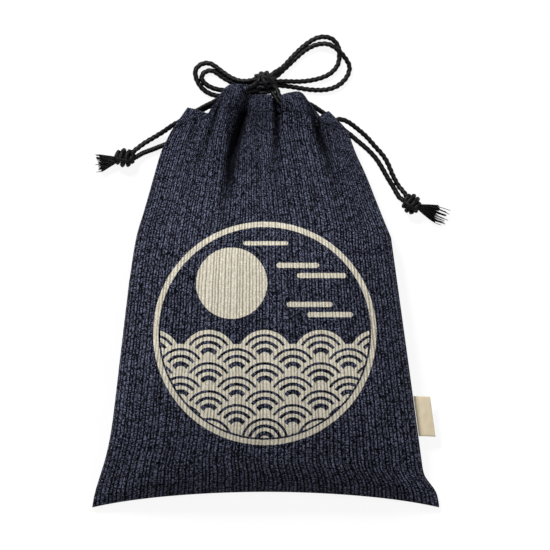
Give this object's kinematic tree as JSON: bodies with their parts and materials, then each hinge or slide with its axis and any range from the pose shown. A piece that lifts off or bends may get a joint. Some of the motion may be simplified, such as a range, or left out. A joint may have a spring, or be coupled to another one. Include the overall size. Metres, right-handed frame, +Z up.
{
  "type": "drawstring_pouch",
  "caption": "Filled drawstring pouch of ribbed navy cotton with a round wave print, black cords tied in a bow and a blank side tag",
  "frame": {"origin": "middle of the face the pouch lies on, on that face (bounding box bottom centre without the free cords)", "axes": "+X to the right across the pouch, +Y from the bottom seam to the mouth, +Z up out of the printed front"},
  "size_m": [0.209, 0.2831, 0.0503],
  "materials": {
    "ribbed_cotton": "matte",
    "cord": "satin",
    "print_ink": "matte",
    "tag_tape": "matte"
  },
  "bodies": {
    "root": {"front_panel": "ribbed_cotton", "back_panel": "ribbed_cotton", "side_tag": "tag_tape", "print_waves": "print_ink", "print_moon": "print_ink", "first_cord_front": "cord", "first_cord_left_loop": "cord", "first_cord_right_loop": "cord", "first_cord_back": "cord", "second_cord_front": "cord", "second_cord_left_loop": "cord", "second_cord_right_loop": "cord", "second_cord_back": "cord", "bow_knot": "cord", "left_end_knot": "cord", "right_end_knot": "cord", "left_tassel": "cord", "right_tassel": "cord"}
  },
  "joints": []
}
